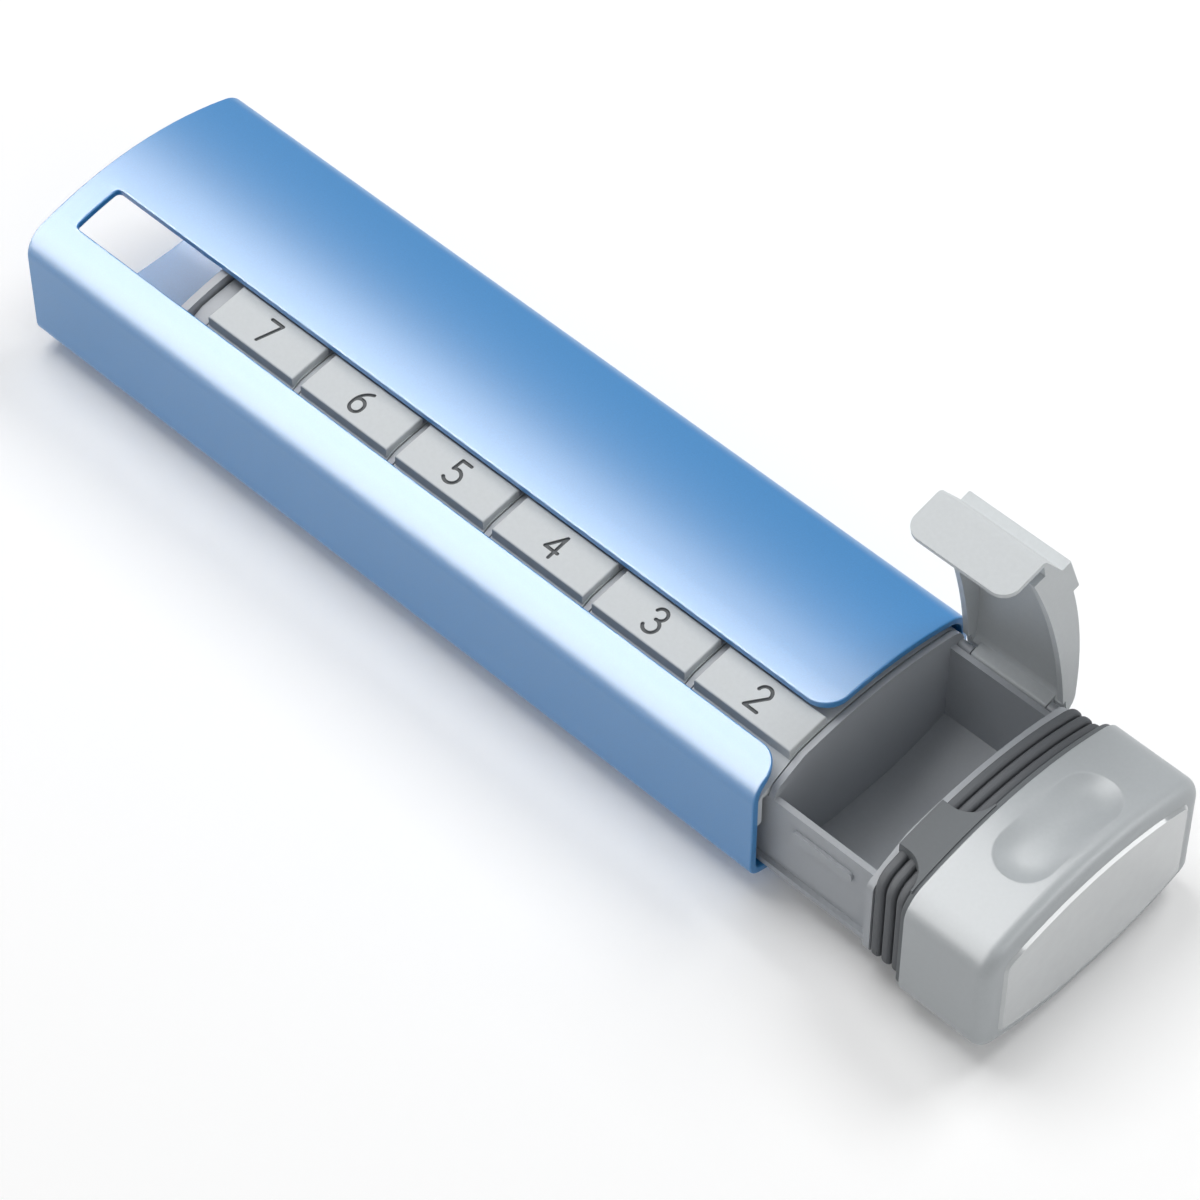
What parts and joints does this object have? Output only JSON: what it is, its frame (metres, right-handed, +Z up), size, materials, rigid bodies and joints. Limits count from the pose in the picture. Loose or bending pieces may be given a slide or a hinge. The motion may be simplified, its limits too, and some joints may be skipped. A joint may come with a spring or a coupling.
{
  "type": "weekly pill box",
  "caption": "Arched pill box: a drawer of lidded compartments slides out of a slotted aluminium sleeve by its pull cap.",
  "frame": {"origin": "centre of the narrow flat under the sleeve, midway along the sleeve", "axes": "+X along the sleeve towards the pull cap, +Y across it towards the lid hinges, +Z up"},
  "size_m": [0.2142, 0.0499, 0.065],
  "materials": {
    "blue_aluminium": "satin",
    "tray_plastic": "satin",
    "lid_plastic": "satin",
    "collar_plastic": "matte",
    "cap_plastic": "satin",
    "face_gloss": "gloss",
    "seal_rubber": "matte",
    "pin_steel": "satin"
  },
  "bodies": {
    "sleeve": {"sleeve": "blue_aluminium"},
    "drawer": {"tray": "tray_plastic", "rear_end_plate": "tray_plastic", "neck_seal": "seal_rubber", "neck_collar": "collar_plastic", "end_cap": "cap_plastic", "cap_face_plate": "face_gloss"},
    "lid_1": {"lid_1": "lid_plastic", "hinge_pin_1": "pin_steel"},
    "lid_2": {"lid_2": "lid_plastic", "hinge_pin_2": "pin_steel"},
    "lid_3": {"lid_3": "lid_plastic", "hinge_pin_3": "pin_steel"},
    "lid_4": {"lid_4": "lid_plastic", "hinge_pin_4": "pin_steel"},
    "lid_5": {"lid_5": "lid_plastic", "hinge_pin_5": "pin_steel"},
    "lid_6": {"lid_6": "lid_plastic", "hinge_pin_6": "pin_steel"},
    "lid_7": {"lid_7": "lid_plastic", "hinge_pin_7": "pin_steel"}
  },
  "joints": [
    {"name": "drawer_slide", "type": "slide", "parent": "sleeve", "child": "drawer", "axis": [1, 0, 0], "range_m": [0, 0.132]},
    {"name": "lid_1_hinge", "type": "hinge", "parent": "drawer", "child": "lid_1", "pos_m": [0.09448, 0.02205, 0.021], "axis": [-1, 0, 0], "range_deg": [-78, 22]},
    {"name": "lid_2_hinge", "type": "hinge", "parent": "drawer", "child": "lid_2", "pos_m": [0.07247, 0.02205, 0.021], "axis": [-1, 0, 0], "range_deg": [0, 0.6]},
    {"name": "lid_3_hinge", "type": "hinge", "parent": "drawer", "child": "lid_3", "pos_m": [0.05047, 0.02205, 0.021], "axis": [-1, 0, 0], "range_deg": [0, 0.6]},
    {"name": "lid_4_hinge", "type": "hinge", "parent": "drawer", "child": "lid_4", "pos_m": [0.02848, 0.02205, 0.021], "axis": [-1, 0, 0], "range_deg": [0, 0.6]},
    {"name": "lid_5_hinge", "type": "hinge", "parent": "drawer", "child": "lid_5", "pos_m": [0.00647, 0.02205, 0.021], "axis": [-1, 0, 0], "range_deg": [0, 0.6]},
    {"name": "lid_6_hinge", "type": "hinge", "parent": "drawer", "child": "lid_6", "pos_m": [-0.01553, 0.02205, 0.021], "axis": [-1, 0, 0], "range_deg": [0, 0.6]},
    {"name": "lid_7_hinge", "type": "hinge", "parent": "drawer", "child": "lid_7", "pos_m": [-0.03753, 0.02205, 0.021], "axis": [-1, 0, 0], "range_deg": [0, 0.6]}
  ]
}
